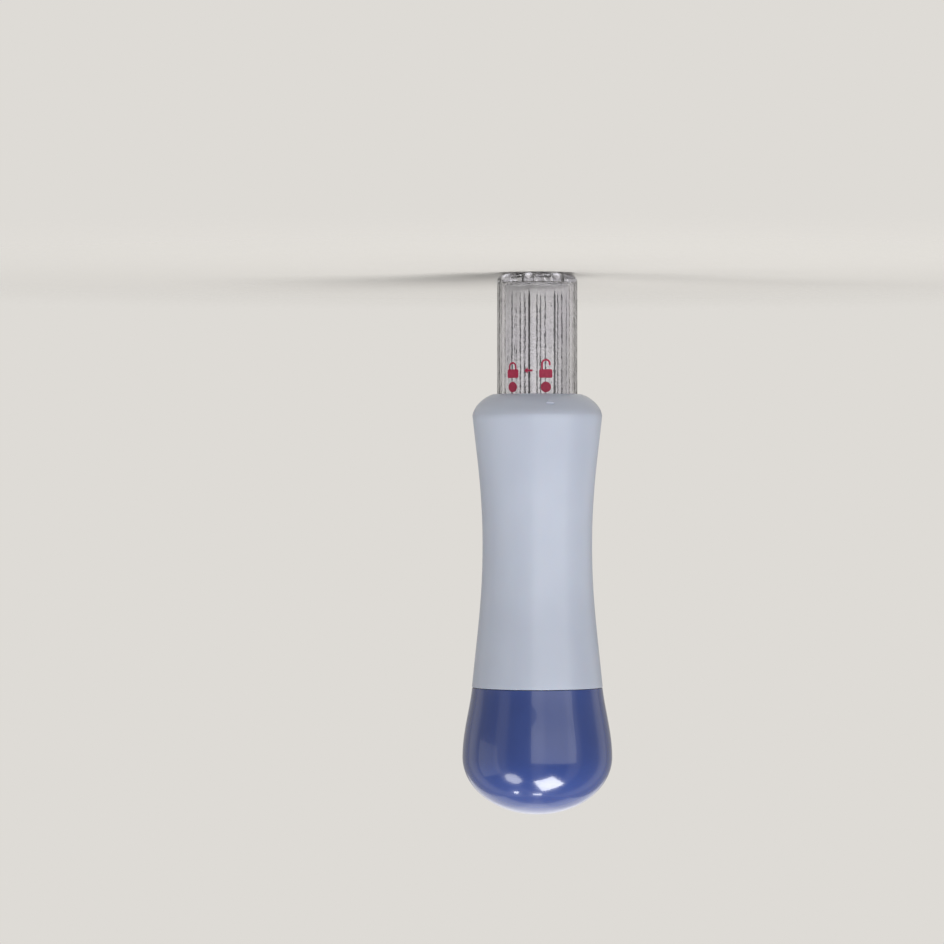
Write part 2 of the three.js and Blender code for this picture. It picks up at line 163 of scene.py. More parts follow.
def newObject(name, mesh, material, sharp=meshing["sharp"]):
    weld(mesh)
    bmesh.ops.recalc_face_normals(mesh, faces=mesh.faces)
    data = bpy.data.meshes.new(name)
    mesh.to_mesh(data)
    mesh.free()
    data.materials.append(material)
    piece = bpy.data.objects.new(name, data)
    bpy.context.scene.collection.objects.link(piece)
    data.shade_smooth()
    data.set_sharp_from_angle(angle=math.radians(sharp))
    return piece


def combine(piece, mesh, operation, sharp=meshing["sharp"]):
    # joins a tool to the piece or cuts it away
    tool = newObject("tool", mesh, piece.data.materials[0])
    modifier = piece.modifiers.new("combine", "BOOLEAN")
    modifier.operation, modifier.object, modifier.solver = operation, tool, "EXACT"
    bpy.context.view_layer.objects.active = piece
    bpy.ops.object.modifier_apply(modifier="combine")
    bpy.data.objects.remove(tool)
    mesh = bmesh.new()
    mesh.from_mesh(piece.data)
    weld(mesh)
    mesh.to_mesh(piece.data)
    mesh.free()
    piece.data.shade_smooth()
    piece.data.set_sharp_from_angle(angle=math.radians(sharp))


def fit(piece, body, slot, *nodes):
    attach(piece, body)
    if nodes:
        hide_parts(*nodes)


def addRingPart(mesh, inner, outer, bottom, top, start, end, fillet):
    # part of a ring between two angles in degrees, its outer edges rounded
    corners = [(inner, bottom), (outer, bottom, fillet), (outer, top, fillet), (inner, top)]
    outline = softened(corners, meshing["partFilletSteps"])
    steps = max(meshing["partFewestSteps"], int((end - start) / meshing["partStepAngle"]))
    stations = []
    for k in range(steps + 1):
        out = turnedTo(math.radians(start + (end - start) * k / steps))
        stations.append((Vector((0, 0, 0)), out, zAxis, outline))
    addSweep(mesh, stations)


# Screw thread, the same on the handle's neck and in the palm cap

screwThread = {
    "pitch": 2.8, "height": 0.6, "base": 1.4, "tip": 0.6, "sunk": 0.15, "steps": 72, "fadeSteps": 9,
    "crest": ((0.85, -1.25), (1, -0.8), (1, 0.8), (0.85, 1.25)),  # shares of the height and of half the tip
}


def addThread(mesh, thread, radius, side, startHeight, turns):
    # a ridge that climbs round Z, on the outside of a neck (side 1) or inside a bore (side -1)
    steps = int(turns * thread["steps"])
    base, tip = thread["base"] / 2, thread["tip"] / 2
    stations = []
    for s in range(steps + 1):
        out = turnedTo(2 * math.pi * s / thread["steps"])
        rise = thread["height"] * min(1, (min(s, steps - s) + 1) / (thread["fadeSteps"] + 1))
        crest = [(rise * high, tip * wide) for high, wide in thread["crest"]]
        outline = [(-thread["sunk"], -base), *crest, (-thread["sunk"], base)]
        centre = out * radius + zAxis * (startHeight + thread["pitch"] * s / thread["steps"])
        stations.append((centre, out * side, zAxis, outline))
    addSweep(mesh, stations)


# Material tools

texture = {
    "noiseSpan": (0.3, 0.7),  # most of a noise's values lie between these
    "shiftAcross": 0.7,
    "scratchDetail": 2.0, "scratchStretch": (1, 1, 0.06), "scratchSpan": (0.62, 0.66),
}


def colour(text):
    # from an sRGB hex value to the linear colour that Blender takes
    parts = [int(text[i:i + 2], 16) / 255 for i in (0, 2, 4)]
    return tuple([p / 12.92 if p < 0.04045 else ((p + 0.055) / 1.055) ** 2.4 for p in parts] + [1])


def mathNode(tree, operation, *values):
    # a number goes in as it is, and another node's output by a link
    node = tree.nodes.new("ShaderNodeMath")
    node.operation = operation
    for socket, value in zip(node.inputs, values):
        if isinstance(value, (int, float)):
            socket.default_value = value
        else:
            tree.links.new(value, socket)
    return node.outputs["Value"]


def rangeNode(tree, value, fromSpan, toSpan=(0, 1), interpolation="LINEAR"):
    node = tree.nodes.new("ShaderNodeMapRange")
    node.interpolation_type = interpolation
    node.inputs["From Min"].default_value, node.inputs["From Max"].default_value = fromSpan
    node.inputs["To Min"].default_value, node.inputs["To Max"].default_value = toSpan
    tree.links.new(value, node.inputs["Value"])
    return node.outputs["Result"]


def mixNode(tree, share, first, second):
    node = tree.nodes.new("ShaderNodeMixShader")
    for socket, value in zip(node.inputs, (share, first, second)):
        tree.links.new(value, socket)
    return node.outputs["Shader"]


class Surface:
    # a material and the nodes that its texture is made from
    def __init__(self, name, settings):
        self.material = bpy.data.materials.new(name)
        self.material.use_nodes = True
        self.tree = self.material.node_tree
        self.nodes, self.links = self.tree.nodes, self.tree.links
        self.shader = self.nodes["Principled BSDF"]
        self.place = self.nodes.new("ShaderNodeTexCoord")
        for socket, value in settings.items():
            self.shader.inputs[socket].default_value = value

    def noise(self, size, detail, stretch=(1, 1, 1), shift=0.0):
        # size is that of its largest blotches, in millimetres
        mapping = self.nodes.new("ShaderNodeMapping")
        mapping.inputs["Scale"].default_value = stretch
        mapping.inputs["Location"].default_value = (shift, shift * texture["shiftAcross"], -shift)
        self.links.new(self.place.outputs["Object"], mapping.inputs["Vector"])
        noise = self.nodes.new("ShaderNodeTexNoise")
        noise.inputs["Scale"].default_value = 1 / (size * mm)
        noise.inputs["Detail"].default_value = detail
        self.links.new(mapping.outputs["Vector"], noise.inputs["Vector"])
        return noise.outputs["Fac"]

    def scratches(self, size, shift, span=texture["scratchSpan"]):
        # sparse fine lines, where a long thin noise just passes its threshold
        lines = self.noise(size, texture["scratchDetail"], texture["scratchStretch"], shift)
        return rangeNode(self.tree, lines, span)

    def seam(self, near, far):
        # the mould's parting line, where its halves met in the plane of X and Z
        apart = self.nodes.new("ShaderNodeSeparateXYZ")
        self.links.new(self.place.outputs["Object"], apart.inputs["Vector"])
        aside = mathNode(self.tree, "ABSOLUTE", apart.outputs["Y"])
        return rangeNode(self.tree, aside, (near * mm, far * mm), (1, 0))

    def tint(self, value, first, second):
        ramp = self.nodes.new("ShaderNodeValToRGB")
        for stop, position, shade in zip(ramp.color_ramp.elements, texture["noiseSpan"], (first, second)):
            stop.position, stop.color = position, colour(shade)
        self.links.new(value, ramp.inputs["Fac"])
        self.links.new(ramp.outputs["Color"], self.shader.inputs["Base Color"])

    def rough(self, value, low, high):
        worn = rangeNode(self.tree, value, texture["noiseSpan"], (low, high))
        self.links.new(worn, self.shader.inputs["Roughness"])

    def relief(self, layers):
        # layers of (height value, depth in millimetres), one bump over the next
        normal = None
        for value, depth in layers:
            bump = self.nodes.new("ShaderNodeBump")
            bump.inputs["Distance"].default_value = depth * mm
            self.links.new(value, bump.inputs["Height"])
            if normal:
                self.links.new(normal, bump.inputs["Normal"])
            normal = bump.outputs["Normal"]
        self.links.new(normal, self.shader.inputs["Normal"])


# Finishes: each tint and roughness runs between two values along a noise; bumps, scratches and
# the seam start with their depth

looks = {
    "paleBluePlastic": {
        "shader": {
            "IOR": 1.5, "Coat Weight": 0.25, "Coat Roughness": 0.12,
            "Subsurface Weight": 0.06, "Subsurface Scale": 0.002,
        },
        "tint": ("ADB4C4", "B8BFCE", {"size": 26, "detail": 3}),
        "rough": (0.30, 0.38, {"size": 7, "detail": 5, "shift": 0.3}),
        "bumps": [(0.006, {"size": 1.1, "detail": 3})],
        "scratches": (0.004, {"size": 7, "shift": 0.2}),
        "seam": (0.018, {"near": 0.02, "far": 0.09}),
    },
    "deepBluePlastic": {
        "shader": {
            "IOR": 1.5, "Coat Weight": 0.6, "Coat Roughness": 0.03,
            "Subsurface Weight": 0.05, "Subsurface Scale": 0.0015,
        },
        "tint": ("223774", "294080", {"size": 18, "detail": 4}),
        "rough": (0.16, 0.26, {"size": 5, "detail": 6, "shift": 0.8}),
        "bumps": [(0.003, {"size": 1.6, "detail": 3})],
        "scratches": (0.006, {"size": 5, "shift": 0.5, "span": (0.64, 0.67)}),
    },
    # the clear plastic's grey tint is partly its own tone and partly painted shade, dimming the backdrop seen
    # through the guard as if it lay in shadow
    "clearPlasticWithPaintedShade": {
        "shader": {"IOR": 1.49, "Transmission Weight": 1.0},
        "tint": ("E9E8EE", "F1F1F4", {"size": 9, "detail": 2}),
        "rough": (0.02, 0.07, {"size": 3, "detail": 5, "shift": 0.4}),
        "bumps": [
            (0.015, {"size": 2.2, "detail": 3}),
            (0.034, {"size": 0.7, "detail": 3, "stretch": (1, 1, 0.7), "shift": 0.5}),
        ],
        "scratches": (0.005, {"size": 5, "shift": 0.9}),
    },
    "whiteAcetal": {
        "shader": {"IOR": 1.48, "Subsurface Weight": 0.15, "Subsurface Scale": 0.002},
        "tint": ("E4E3DC", "ECEBE5", {"size": 6, "detail": 4}),
        "rough": (0.42, 0.55, {"size": 2.5, "detail": 5, "shift": 0.6}),
        "bumps": [(0.006, {"size": 0.7, "detail": 4})],
        "scratches": (0.003, {"size": 4, "shift": 0.1}),
    },
    # the needles' steel is tinted far darker than bright steel such as the spring's: painted shade that stands in
    # for the dark surroundings its blades reflect
    "needleSteelWithPaintedShade": {
        "shader": {"Metallic": 1.0},
        "tint": ("414245", "5A5B60", {"size": 3, "detail": 5}),
        "rough": (0.28, 0.40, {"size": 0.8, "detail": 4, "shift": 0.5}),
        "bumps": [
            (0.004, {"size": 0.05, "detail": 3, "stretch": (1, 1, 0.03)}),
            (0.002, {"size": 0.5, "detail": 3, "shift": 0.2}),
        ],
    },
    "springSteel": {
        "shader": {"Metallic": 1.0},
        "tint": ("A6A8AB", "BDBFC2", {"size": 3, "detail": 5}),
        "rough": (0.18, 0.30, {"size": 0.8, "detail": 4, "shift": 0.5}),
        "bumps": [
            (0.004, {"size": 0.08, "detail": 3, "stretch": (1, 1, 0.03)}),
            (0.002, {"size": 0.5, "detail": 3, "shift": 0.2}),
        ],
    },
    "redInk": {
        "shader": {"IOR": 1.45},
        "tint": ("951A3E", "AA2249", {"size": 0.5, "detail": 5}),
        "rough": (0.38, 0.52, {"size": 0.4, "detail": 4, "shift": 0.7}),
        "bumps": [(0.004, {"size": 0.15, "detail": 4})],
    },
}


def makeFinish(name, look):
    surface = Surface(name, look["shader"])
    first, second, noise = look["tint"]
    surface.tint(surface.noise(**noise), first, second)
    low, high, noise = look["rough"]
    surface.rough(surface.noise(**noise), low, high)
    layers = [(surface.noise(**noise), depth) for depth, noise in look["bumps"]]
    if "scratches" in look:
        depth, lines = look["scratches"]
        layers.append((surface.scratches(**lines), depth))
    if "seam" in look:
        depth, edges = look["seam"]
        layers.append((surface.seam(**edges), depth))
    surface.relief(layers)
    return surface.material


finishes = {name: makeFinish(name, look) for name, look in looks.items()}
print("finishes made")


# Handle

handle = {
    "sides": 192, "sharp": 28, "shoulderSteps": 20, "curveSteps": 28,
    "mouthBore": 8.3, "mouthEdge": 8.8, "mouth": 23.9, "mouthFillet": 0.3, "lipTop": 26.4,
    "shoulderRadius": 12.9, "shoulder": 28.2, "shoulderLean": (0.35, 0.1, 0.93, 0.47),
    "waistRadius": 10.9, "waist": 53.9, "flareLean": (0.4, 0.3, 1, 0.58),
    "splitRadius": 13.0, "split": 82.11, "splitFillet": 0.12, "swellLean": (0, 0.36, 0.42, 0.57),
    "neckRadius": 11.2, "neckTop": 90.21, "neckBore": 10.1, "neckChamfer": 0.4, "neckFillet": 0.15,
    "seat": 77.89, "bore": 9.6,
    "threadStart": 83.61, "threadTurns": 2,
    "pointer": {
        "width": 1.7, "length": 1.7, "proud": 0.3,
        "levels": ((-0.3, 1), (0.55, 1), (0.85, 0.93), (1, 0.8)),  # shares of the height and of the outline
        "corner": (0.14, 0.05, 0, -0.05, -0.14), "cornerPull": 0.06,  # shares of a side
    },
}


def raisedPointer(p, middle, along):
    # lies on the shoulder at middle, its tip towards the guard
    up, across = Vector((0, -along.x, along.y)), Vector((1, 0, 0))
    out = across.cross(up)
    halfLength, halfWidth = p["length"] / 2, p["width"] / 2
    corners = [(0, -halfLength), (halfWidth, halfLength), (-halfWidth, halfLength)]
    stations = []
    for level, share in p["levels"]:
        outline = []
        for i, (a, b) in enumerate(corners):
            for t in p["corner"]:
                other = corners[(i + (1 if t < 0 else -1)) % 3]
                pull = p["cornerPull"] * (1 - abs(t) / p["corner"][0])
                x, y = a + (other[0] - a) * abs(t), b + (other[1] - b) * abs(t)
                outline.append((x * share * (1 - pull), y * share * (1 - pull)))
        stations.append((Vector((0, -middle.x, middle.y)) + out * p["proud"] * level, across, up, outline))
    mesh = bmesh.new()
    addSweep(mesh, stations)
    return mesh


def handleShell(h):
    splitEdge = (h["splitRadius"], h["split"] - h["splitFillet"])
    mouthEdge = (h["mouthEdge"], h["mouth"])
    shoulder = leaning(mouthEdge, (h["shoulderRadius"], h["shoulder"]), h["shoulderLean"], h["shoulderSteps"])
    flare = leaning(shoulder[-1], (h["waistRadius"], h["waist"]), h["flareLean"], h["curveSteps"])
    swell = leaning(flare[-1], splitEdge, h["swellLean"], h["curveSteps"])
    mouth = [(h["mouthBore"], h["lipTop"]), (h["mouthBore"], h["mouth"], h["mouthFillet"]), mouthEdge]
    neck = [
        splitEdge,
        (h["splitRadius"], h["split"], h["splitFillet"]),
        (h["neckRadius"], h["split"]),
        (h["neckRadius"], h["neckTop"] - h["neckChamfer"], h["neckFillet"]),
        (h["neckRadius"] - h["neckChamfer"], h["neckTop"], h["neckFillet"]),
        (h["neckBore"], h["neckTop"], h["neckFillet"]),
        (h["neckBore"], h["seat"]),
        (h["bore"], h["seat"]),
        (h["bore"], h["lipTop"]),
    ]
    mesh = bmesh.new()
    addSpin(mesh, softened(mouth)[:-1] + shoulder + flare[1:] + swell[1:] + softened(neck)[1:], h["sides"])
    piece = newObject("grip_body_look", mesh, finishes["paleBluePlastic"], h["sharp"])
    ridge = bmesh.new()
    addThread(ridge, screwThread, h["neckRadius"], 1, h["threadStart"], h["threadTurns"])
    combine(piece, ridge, "UNION", h["sharp"])
    half = h["shoulderSteps"] // 2
    along = (shoulder[half + 1] - shoulder[half - 1]).normalized()
    combine(piece, raisedPointer(h["pointer"], shoulder[half], along), "UNION", h["sharp"])
    return piece


fit(handleShell(handle), "handle", "pale_blue", "grip_body")
print("handle made")


# Palm cap

cap = {
    "sides": 192, "sharp": 28, "curveSteps": 28, "domeSteps": 32, "innerSteps": 8,
    "foot": 82.21, "footRadius": 13.0, "footFillet": 0.12, "footBoreFillet": 0.15,
    "bulb": 96.01, "bulbRadius": 14.9, "bulbLean": (0.21, 0.29, 1, 0.64), "crownHeight": 11.4,
    "wall": 2.0, "bore": 12.1, "skirtTop": 91.21,
    "bossRadius": 9.2, "bossBore": 7.6, "boss": 84.01, "bossFillet": 0.2,
    "stepBore": 7.0, "step": 87.41, "stepFillet": 0.1,
    "threadStart": 85.01, "threadTurns": 1.5,
}


def palmCap(c):
    innerRadius, innerHeight = c["bulbRadius"] - c["wall"], c["crownHeight"] - c["wall"]

    def inside(radius):
        return c["bulb"] + innerHeight * math.sqrt(1 - (radius / innerRadius) ** 2)

    centreRadii = [c["stepBore"] * k / c["innerSteps"] for k in range(1, c["innerSteps"] + 1)]
    outerTurns = quarterTurn(c["innerSteps"])[1:-1]
    outerRadii = [c["bossRadius"] + (innerRadius - c["bossRadius"]) * math.sin(a) for a in outerTurns]
    boss = [
        (c["stepBore"], inside(c["stepBore"])),
        (c["stepBore"], c["step"], c["stepFillet"]),
        (c["bossBore"], c["step"]),
        (c["bossBore"], c["boss"], c["bossFillet"]),
        (c["bossRadius"], c["boss"], c["bossFillet"]),
        (c["bossRadius"], inside(c["bossRadius"])),
    ]
    skirt = [
        (innerRadius, c["bulb"]),
        (c["bore"], c["skirtTop"]),
        (c["bore"], c["foot"], c["footBoreFillet"]),
        (c["footRadius"], c["foot"], c["footFillet"]),
    ]
    footEdge = (c["footRadius"], c["foot"] + c["footFillet"])
    line = [Vector((0, c["bulb"] + innerHeight))]
    line += [Vector((r, inside(r))) for r in centreRadii]
    line += softened(boss)[1:]
    line += [Vector((r, inside(r))) for r in outerRadii]
    line += softened(skirt)
    line += leaning(footEdge, (c["bulbRadius"], c["bulb"]), c["bulbLean"], c["curveSteps"])
    for a in quarterTurn(c["domeSteps"])[1:-1]:
        line.append(Vector((c["bulbRadius"] * math.cos(a), c["bulb"] + c["crownHeight"] * math.sin(a))))
    line.append(Vector((0, c["bulb"] + c["crownHeight"])))
    mesh = bmesh.new()
    addSpin(mesh, line, c["sides"], closed=False)
    piece = newObject("palm_cap_look", mesh, finishes["deepBluePlastic"], c["sharp"])
    ridge = bmesh.new()
    addThread(ridge, screwThread, c["bore"], -1, c["threadStart"], c["threadTurns"])
    combine(piece, ridge, "UNION", c["sharp"])
    return piece


fit(palmCap(cap), "cap", "dark_blue", "palm_cap")
print("palm cap made")


# Guard

guard = {
    "radius": 8.0, "bore": 6.7, "sharp": 30,
    "face": 1.6, "rounding": 1.6, "roundingSteps": 10, "insideFillet": 0.7,
    "ribs": 28, "sidesPerRib": 16, "ribDepth": 0.08, "ribRise": (1.5, 2.6), "ribFall": (26.2, 26.7),
    "ribbedFrom": 1, "plainWall": 0.55,  # the ribs move no point lower or nearer the bore than this
    "rings": (1.8, 2.0, 2.2, 2.4, 2.6, 8, 14, 20, 26.2, 26.33, 26.45, 26.57, 26.7),
    "rear": 27.0, "rearRadius": 7.7, "top": 29.5, "topFillet": 0.2,
    "lugRadius": 8.7, "lugAngle": 36, "lug": (26.7, 28.9), "lugSunk": 0.5, "lugFillet": 0.25,
    "holeRadius": 1.32, "holeSides": 48, "holeFlare": 0.2, "flareDepth": 0.1, "holeOver": 0.3,
}
needleRing = {"radius": 5.0, "count": 6}
lugFronts = (-90, 90)


def ribDip(g, height, angle):
    # how far the surface lies below the ribs' crests, which have a shallow hollow between them
    t = (angle / (2 * math.pi) * g["ribs"] + 0.5) % 1 * 2 - 1
    hollow = g["ribDepth"] * (1 - t * t) * smoothStep(height, *g["ribRise"])
    fall = smoothStep(height, *g["ribFall"])
    return hollow * (1 - fall) + (g["radius"] - g["rearRadius"]) * fall


def needlePlaces(ring):
    places = [(0.0, 0.0, 180 / ring["count"])]
    for k in range(ring["count"]):
        angle = k * 360 / ring["count"]
        spot = turnedTo(math.radians(angle), ring["radius"])
        places.append((spot.x, spot.y, angle))
    return places


def faceHoles(g):
    # one flared hole for each needle, all in one mesh
    r, flare, depth, end = g["holeRadius"], g["holeFlare"], g["flareDepth"], g["face"] + g["holeOver"]
    line = [(0, -depth), (r + flare, -depth), (r, depth), (r, end), (0, end)]
    holes = bmesh.new()
    for x, y, _ in needlePlaces(needleRing):
        hole = bmesh.new()
        addSpin(hole, line, g["holeSides"], closed=False)
        hole.transform(Matrix.Translation(Vector((x, y, 0)) * mm))
        data = bpy.data.meshes.new("hole")
        hole.to_mesh(data)
        hole.free()
        holes.from_mesh(data)
        bpy.data.meshes.remove(data)
    return holes


def guardTube(g):
    def ribbed(radius, height, angle):
        outside = radius > g["bore"] + g["plainWall"] and height > g["ribbedFrom"]
        return radius - ribDip(g, height, angle) if outside else radius

    rim, line = g["rounding"], []
    for a in quarterTurn(g["roundingSteps"]):
        line.append(Vector((g["radius"] - rim + rim * math.sin(a), rim - rim * math.cos(a))))
    line += [Vector((g["radius"], h)) for h in g["rings"]]
    rear = [
        (g["radius"], g["rear"]),
        (g["radius"], g["top"], g["topFillet"]),
        (g["bore"], g["top"], g["topFillet"]),
        (g["bore"], g["face"], g["insideFillet"]),
        (0, g["face"]),
    ]
    line += softened(rear)[1:-1]
    mesh = bmesh.new()
    addSpin(mesh, line, g["ribs"] * g["sidesPerRib"], closed=False, ripple=ribbed)
    piece = newObject("guard_tube_look", mesh, finishes["clearPlasticWithPaintedShade"], g["sharp"])
    lugs, half = bmesh.new(), g["lugAngle"] / 2
    for front in lugFronts:
        inner, outer = g["rearRadius"] - g["lugSunk"], g["lugRadius"]
        addRingPart(lugs, inner, outer, *g["lug"], front - half, front + half, g["lugFillet"])
    combine(piece, lugs, "UNION", g["sharp"])
    combine(piece, faceHoles(g), "DIFFERENCE", g["sharp"])
    return piece


fit(guardTube(guard), "guard", "clear", "guard_tube")
print("guard made")


# Printed marks on the guard: an open lock over the pointer, a turn arrow and a shut lock

marks = {
    "height": 19.1, "turn": 50, "thickness": 0.02, "gap": 0.008, "sharp": 40,
    "dotHeight": 22.6, "dotRadius": 1.05, "dotSides": 28,
    "body": (2.7, 1.7), "bodyRounding": 0.3, "roundingSteps": 4,
    "shackle": (0.95, 0.36), "shackleSteps": (14, 12), "shackleRise": 0.5, "shackleSunk": 0.1,
    "open": 0.6, "legGap": 0.15,
    "arrow": {"half": 0.85, "head": 0.7, "headRise": 0.65, "shaft": 0.2, "height": -0.25},
    "cutReach": 1e-6,
}


def roundedBox(x0, y0, x1, y1, r, steps):
    line = []
    for cx, cy, start in ((x1 - r, y1 - r, 0), (x0 + r, y1 - r, 90), (x0 + r, y0 + r, 180), (x1 - r, y0 + r, 270)):
        for k in range(steps + 1):
            a = math.radians(start + 90 * k / steps)
            line.append((cx + r * math.cos(a), cy + r * math.sin(a)))
    return line


def lockShapes(m, x, isOpen):
    w, h = m["body"]
    outer, thick = m["shackle"]
    inner = outer - thick
    outerTurns, innerTurns = [[math.pi * k / steps for k in range(steps + 1)] for steps in m["shackleSteps"]]
    foot = -m["shackleSunk"]
    spring = m["shackleRise"] + (m["open"] if isOpen else 0)
    loose = m["open"] + m["legGap"] if isOpen else foot  # the open shackle's right leg hangs free
    arch = [(x + outer, loose)]
    arch += [(x + outer * math.cos(a), spring + outer * math.sin(a)) for a in outerTurns]
    arch += [(x - outer, foot), (x - inner, foot)]
    arch += [(x - inner * math.cos(a), spring + inner * math.sin(a)) for a in innerTurns]
    arch += [(x + inner, loose)]
    return [roundedBox(x - w / 2, -h, x + w / 2, 0, m["bodyRounding"], m["roundingSteps"]), arch]


def arrowShape(arrow, middle):
    tip, end, y = middle - arrow["half"], middle + arrow["half"], arrow["height"]
    neck, rise, shaft = tip + arrow["head"], arrow["headRise"], arrow["shaft"]
    return [(tip, y), (neck, y + rise), (neck, y + shaft), (end, y + shaft),
            (end, y - shaft), (neck, y - shaft), (neck, y - rise)]


def markShapes(m, g):
    step = math.radians(m["turn"]) * g["radius"]
    dotDrop = m["height"] - m["dotHeight"]
    shapes = lockShapes(m, 0, True) + lockShapes(m, -step, False)
    for x in (0, -step):
        shapes.append([(x + a, dotDrop + b) for a, b in circleOutline(m["dotRadius"], m["dotSides"])])
    shapes.append(arrowShape(m["arrow"], -step / 2))
    return shapes


def printedMarks(m, g):
    mesh = bmesh.new()
    for shape in markShapes(m, g):
        mesh.faces.new([mesh.verts.new((x, y, 0)) for x, y in shape])
    mesh.normal_update()
    bmesh.ops.triangulate(mesh, faces=mesh.faces)
    # cut along the guard's own facets, so that the marks bend with them
    sides = g["ribs"] * g["sidesPerRib"]
    for k in range(-sides // 4, sides // 4):
        x = k * 2 * math.pi / sides * g["radius"]
        everything = list(mesh.verts) + list(mesh.edges) + list(mesh.faces)
        bmesh.ops.bisect_plane(
            mesh, geom=everything, plane_co=(x, 0, 0), plane_no=(1, 0, 0), dist=m["cutReach"])
    # wrapped round the guard as a thin solid, with an edge wherever a shape ends
    mesh.verts.index_update()
    solid = bmesh.new()
    under, over = [], []
    for vert in mesh.verts:
        angle = -math.pi / 2 - vert.co.x / g["radius"]
        height = m["height"] - vert.co.y
        surface = g["radius"] - ribDip(g, height, angle % (2 * math.pi)) + m["gap"]
        under.append(solid.verts.new(turnedTo(angle, surface, height) * mm))
        over.append(solid.verts.new(turnedTo(angle, surface + m["thickness"], height) * mm))
    for face in mesh.faces:
        corners = [vert.index for vert in face.verts]
        solid.faces.new([over[i] for i in corners])
        solid.faces.new([under[i] for i in reversed(corners)])
        for loop in face.loops:
            if loop.edge.is_boundary:
                a, b = loop.vert.index, loop.link_loop_next.vert.index
                solid.faces.new((under[a], under[b], over[b], over[a]))
    mesh.free()
    return newObject("guard_marks", solid, finishes["redInk"], m["sharp"])


fit(printedMarks(marks, guard), "guard", "clear")
print("marks printed")


# Needles

needle = {
    "length": 78, "tip": 3.0, "tipLength": 1.5, "tipRadius": 0.03, "sharp": 40,
    "bladeRadius": 0.3, "bladeLength": 24, "flatness": 0.92,  # 0 is round, 1 a sharp triangle
    "bladeEdges": 3, "outlineAngles": (0, 11, 34, 86, 109),  # its outline's points, from one edge to the next
    "taper": 3, "taperSteps": 6,
    "stemRadius": 0.6, "stemLength": 18, "shankRadius": 0.91, "bend": 1.2, "bendSteps": 10,
    "reach": 4.6, "endChamfer": 0.12,
    "barbStart": 3.2, "barbStep": 3.1, "barbStagger": 1.05, "barbRows": 6, "barbDepth": 0.45, "barbKick": 0.3,
    "barbSections": (-0.1, 0, 0.45, 0.5, 0.72, 1.0), "notchLength": 0.45, "hook": 0.5, "barbLength": 1.0,
    "heightDigits": 3,
}


def bladeOutline(n, radius, flatness, notches=None):
    outline = []
    halfSide = 180 / n["bladeEdges"]
    for edge in range(n["bladeEdges"]):
        for offset in n["outlineAngles"]:
            flat = math.cos(math.radians(halfSide)) / math.cos(math.radians(offset - halfSide))
            r = radius * (1 + (flat - 1) * flatness)
            if notches and offset == 0:
                r *= notches[edge]
            a = math.radians(edge * 2 * halfSide + offset)
            outline.append((r * math.cos(a), r * math.sin(a)))
    return outline


def barbPlaces(n, edge):
    return [n["barbStart"] + row * n["barbStep"] + edge * n["barbStagger"] for row in range(n["barbRows"])]


def barbHeights(n):
    heights = {0.0, n["tipLength"], n["bladeLength"]}
    for edge in range(n["bladeEdges"]):
        for place in barbPlaces(n, edge):
            heights.update(round(place + step, n["heightDigits"]) for step in n["barbSections"])
    return sorted(heights)


def notchAt(n, edge, height):
    # a barb: the edge runs down into a notch, then hooks out and fades back
    deepest = (n["notchLength"] + n["hook"]) / 2
    for place in barbPlaces(n, edge):
        t = height - place
        if 0 <= t <= deepest:
            return 1 - n["barbDepth"] * t / n["notchLength"]
        if deepest < t <= n["barbLength"]:
            return 1 + n["barbKick"] * (n["barbLength"] - t) / (n["barbLength"] - n["hook"])
    return 1


def needlePiece(n, name, x, y, angle):
    forward, left = turnedTo(math.radians(angle)), turnedTo(math.radians(angle + 90))
    foot = Vector((x, y, n["tip"]))
    stations = []

    def section(along, height, tilt, outline):
        across = forward * math.cos(tilt) - zAxis * math.sin(tilt)
        stations.append((foot + forward * along + zAxis * height, across, left, outline))

    def taper(start, low, high, flatness):
        for k in range(1, n["taperSteps"] + 1):
            t = smoothStep(k / n["taperSteps"], 0, 1)
            outline = bladeOutline(n, low + (high - low) * t, flatness - flatness * t)
            section(0, start + n["taper"] * k / n["taperSteps"], 0, outline)

    for height in barbHeights(n):
        size = n["tipRadius"] if height == 0 else n["bladeRadius"]
        notches = [notchAt(n, edge, height) for edge in range(n["bladeEdges"])]
        section(0, height, 0, bladeOutline(n, size, n["flatness"], notches))
    stemTop = n["bladeLength"] + n["taper"] + n["stemLength"]
    taper(n["bladeLength"], n["bladeRadius"], n["stemRadius"], n["flatness"])
    section(0, stemTop, 0, bladeOutline(n, n["stemRadius"], 0))
    taper(stemTop, n["stemRadius"], n["shankRadius"], 0)
    shank = bladeOutline(n, n["shankRadius"], 0)
    for tilt in quarterTurn(n["bendSteps"]):
        height = n["length"] - n["bend"] + n["bend"] * math.sin(tilt)
        section(n["bend"] * (1 - math.cos(tilt)), height, tilt, shank)
    section(n["reach"] - n["endChamfer"], n["length"], math.pi / 2, shank)
    end = bladeOutline(n, n["shankRadius"] - n["endChamfer"], 0)
    section(n["reach"], n["length"], math.pi / 2, end)
    mesh = bmesh.new()
    addSweep(mesh, stations)
    return newObject(name, mesh, finishes["needleSteelWithPaintedShade"], n["sharp"])


for k, (x, y, angle) in enumerate(needlePlaces(needleRing)):
    node = "needle_centre" if k == 0 else "needle_ring_" + str(k)
    fit(needlePiece(needle, node + "_look", x, y, angle), "handle", "needle_steel", node)
print("needles made")


# Return spring, which on the real punch flattens towards the needle block as the guard slides in; this coil stays
# wound at rest

spring = {
    "radius": 7.21, "wire": 0.8, "curls": 10, "endPitch": 1.35, "bottom": 30.7, "top": 61.89, "stroke": 13.0,
    "steps": 48, "sides": 14, "sharp": 50,
}


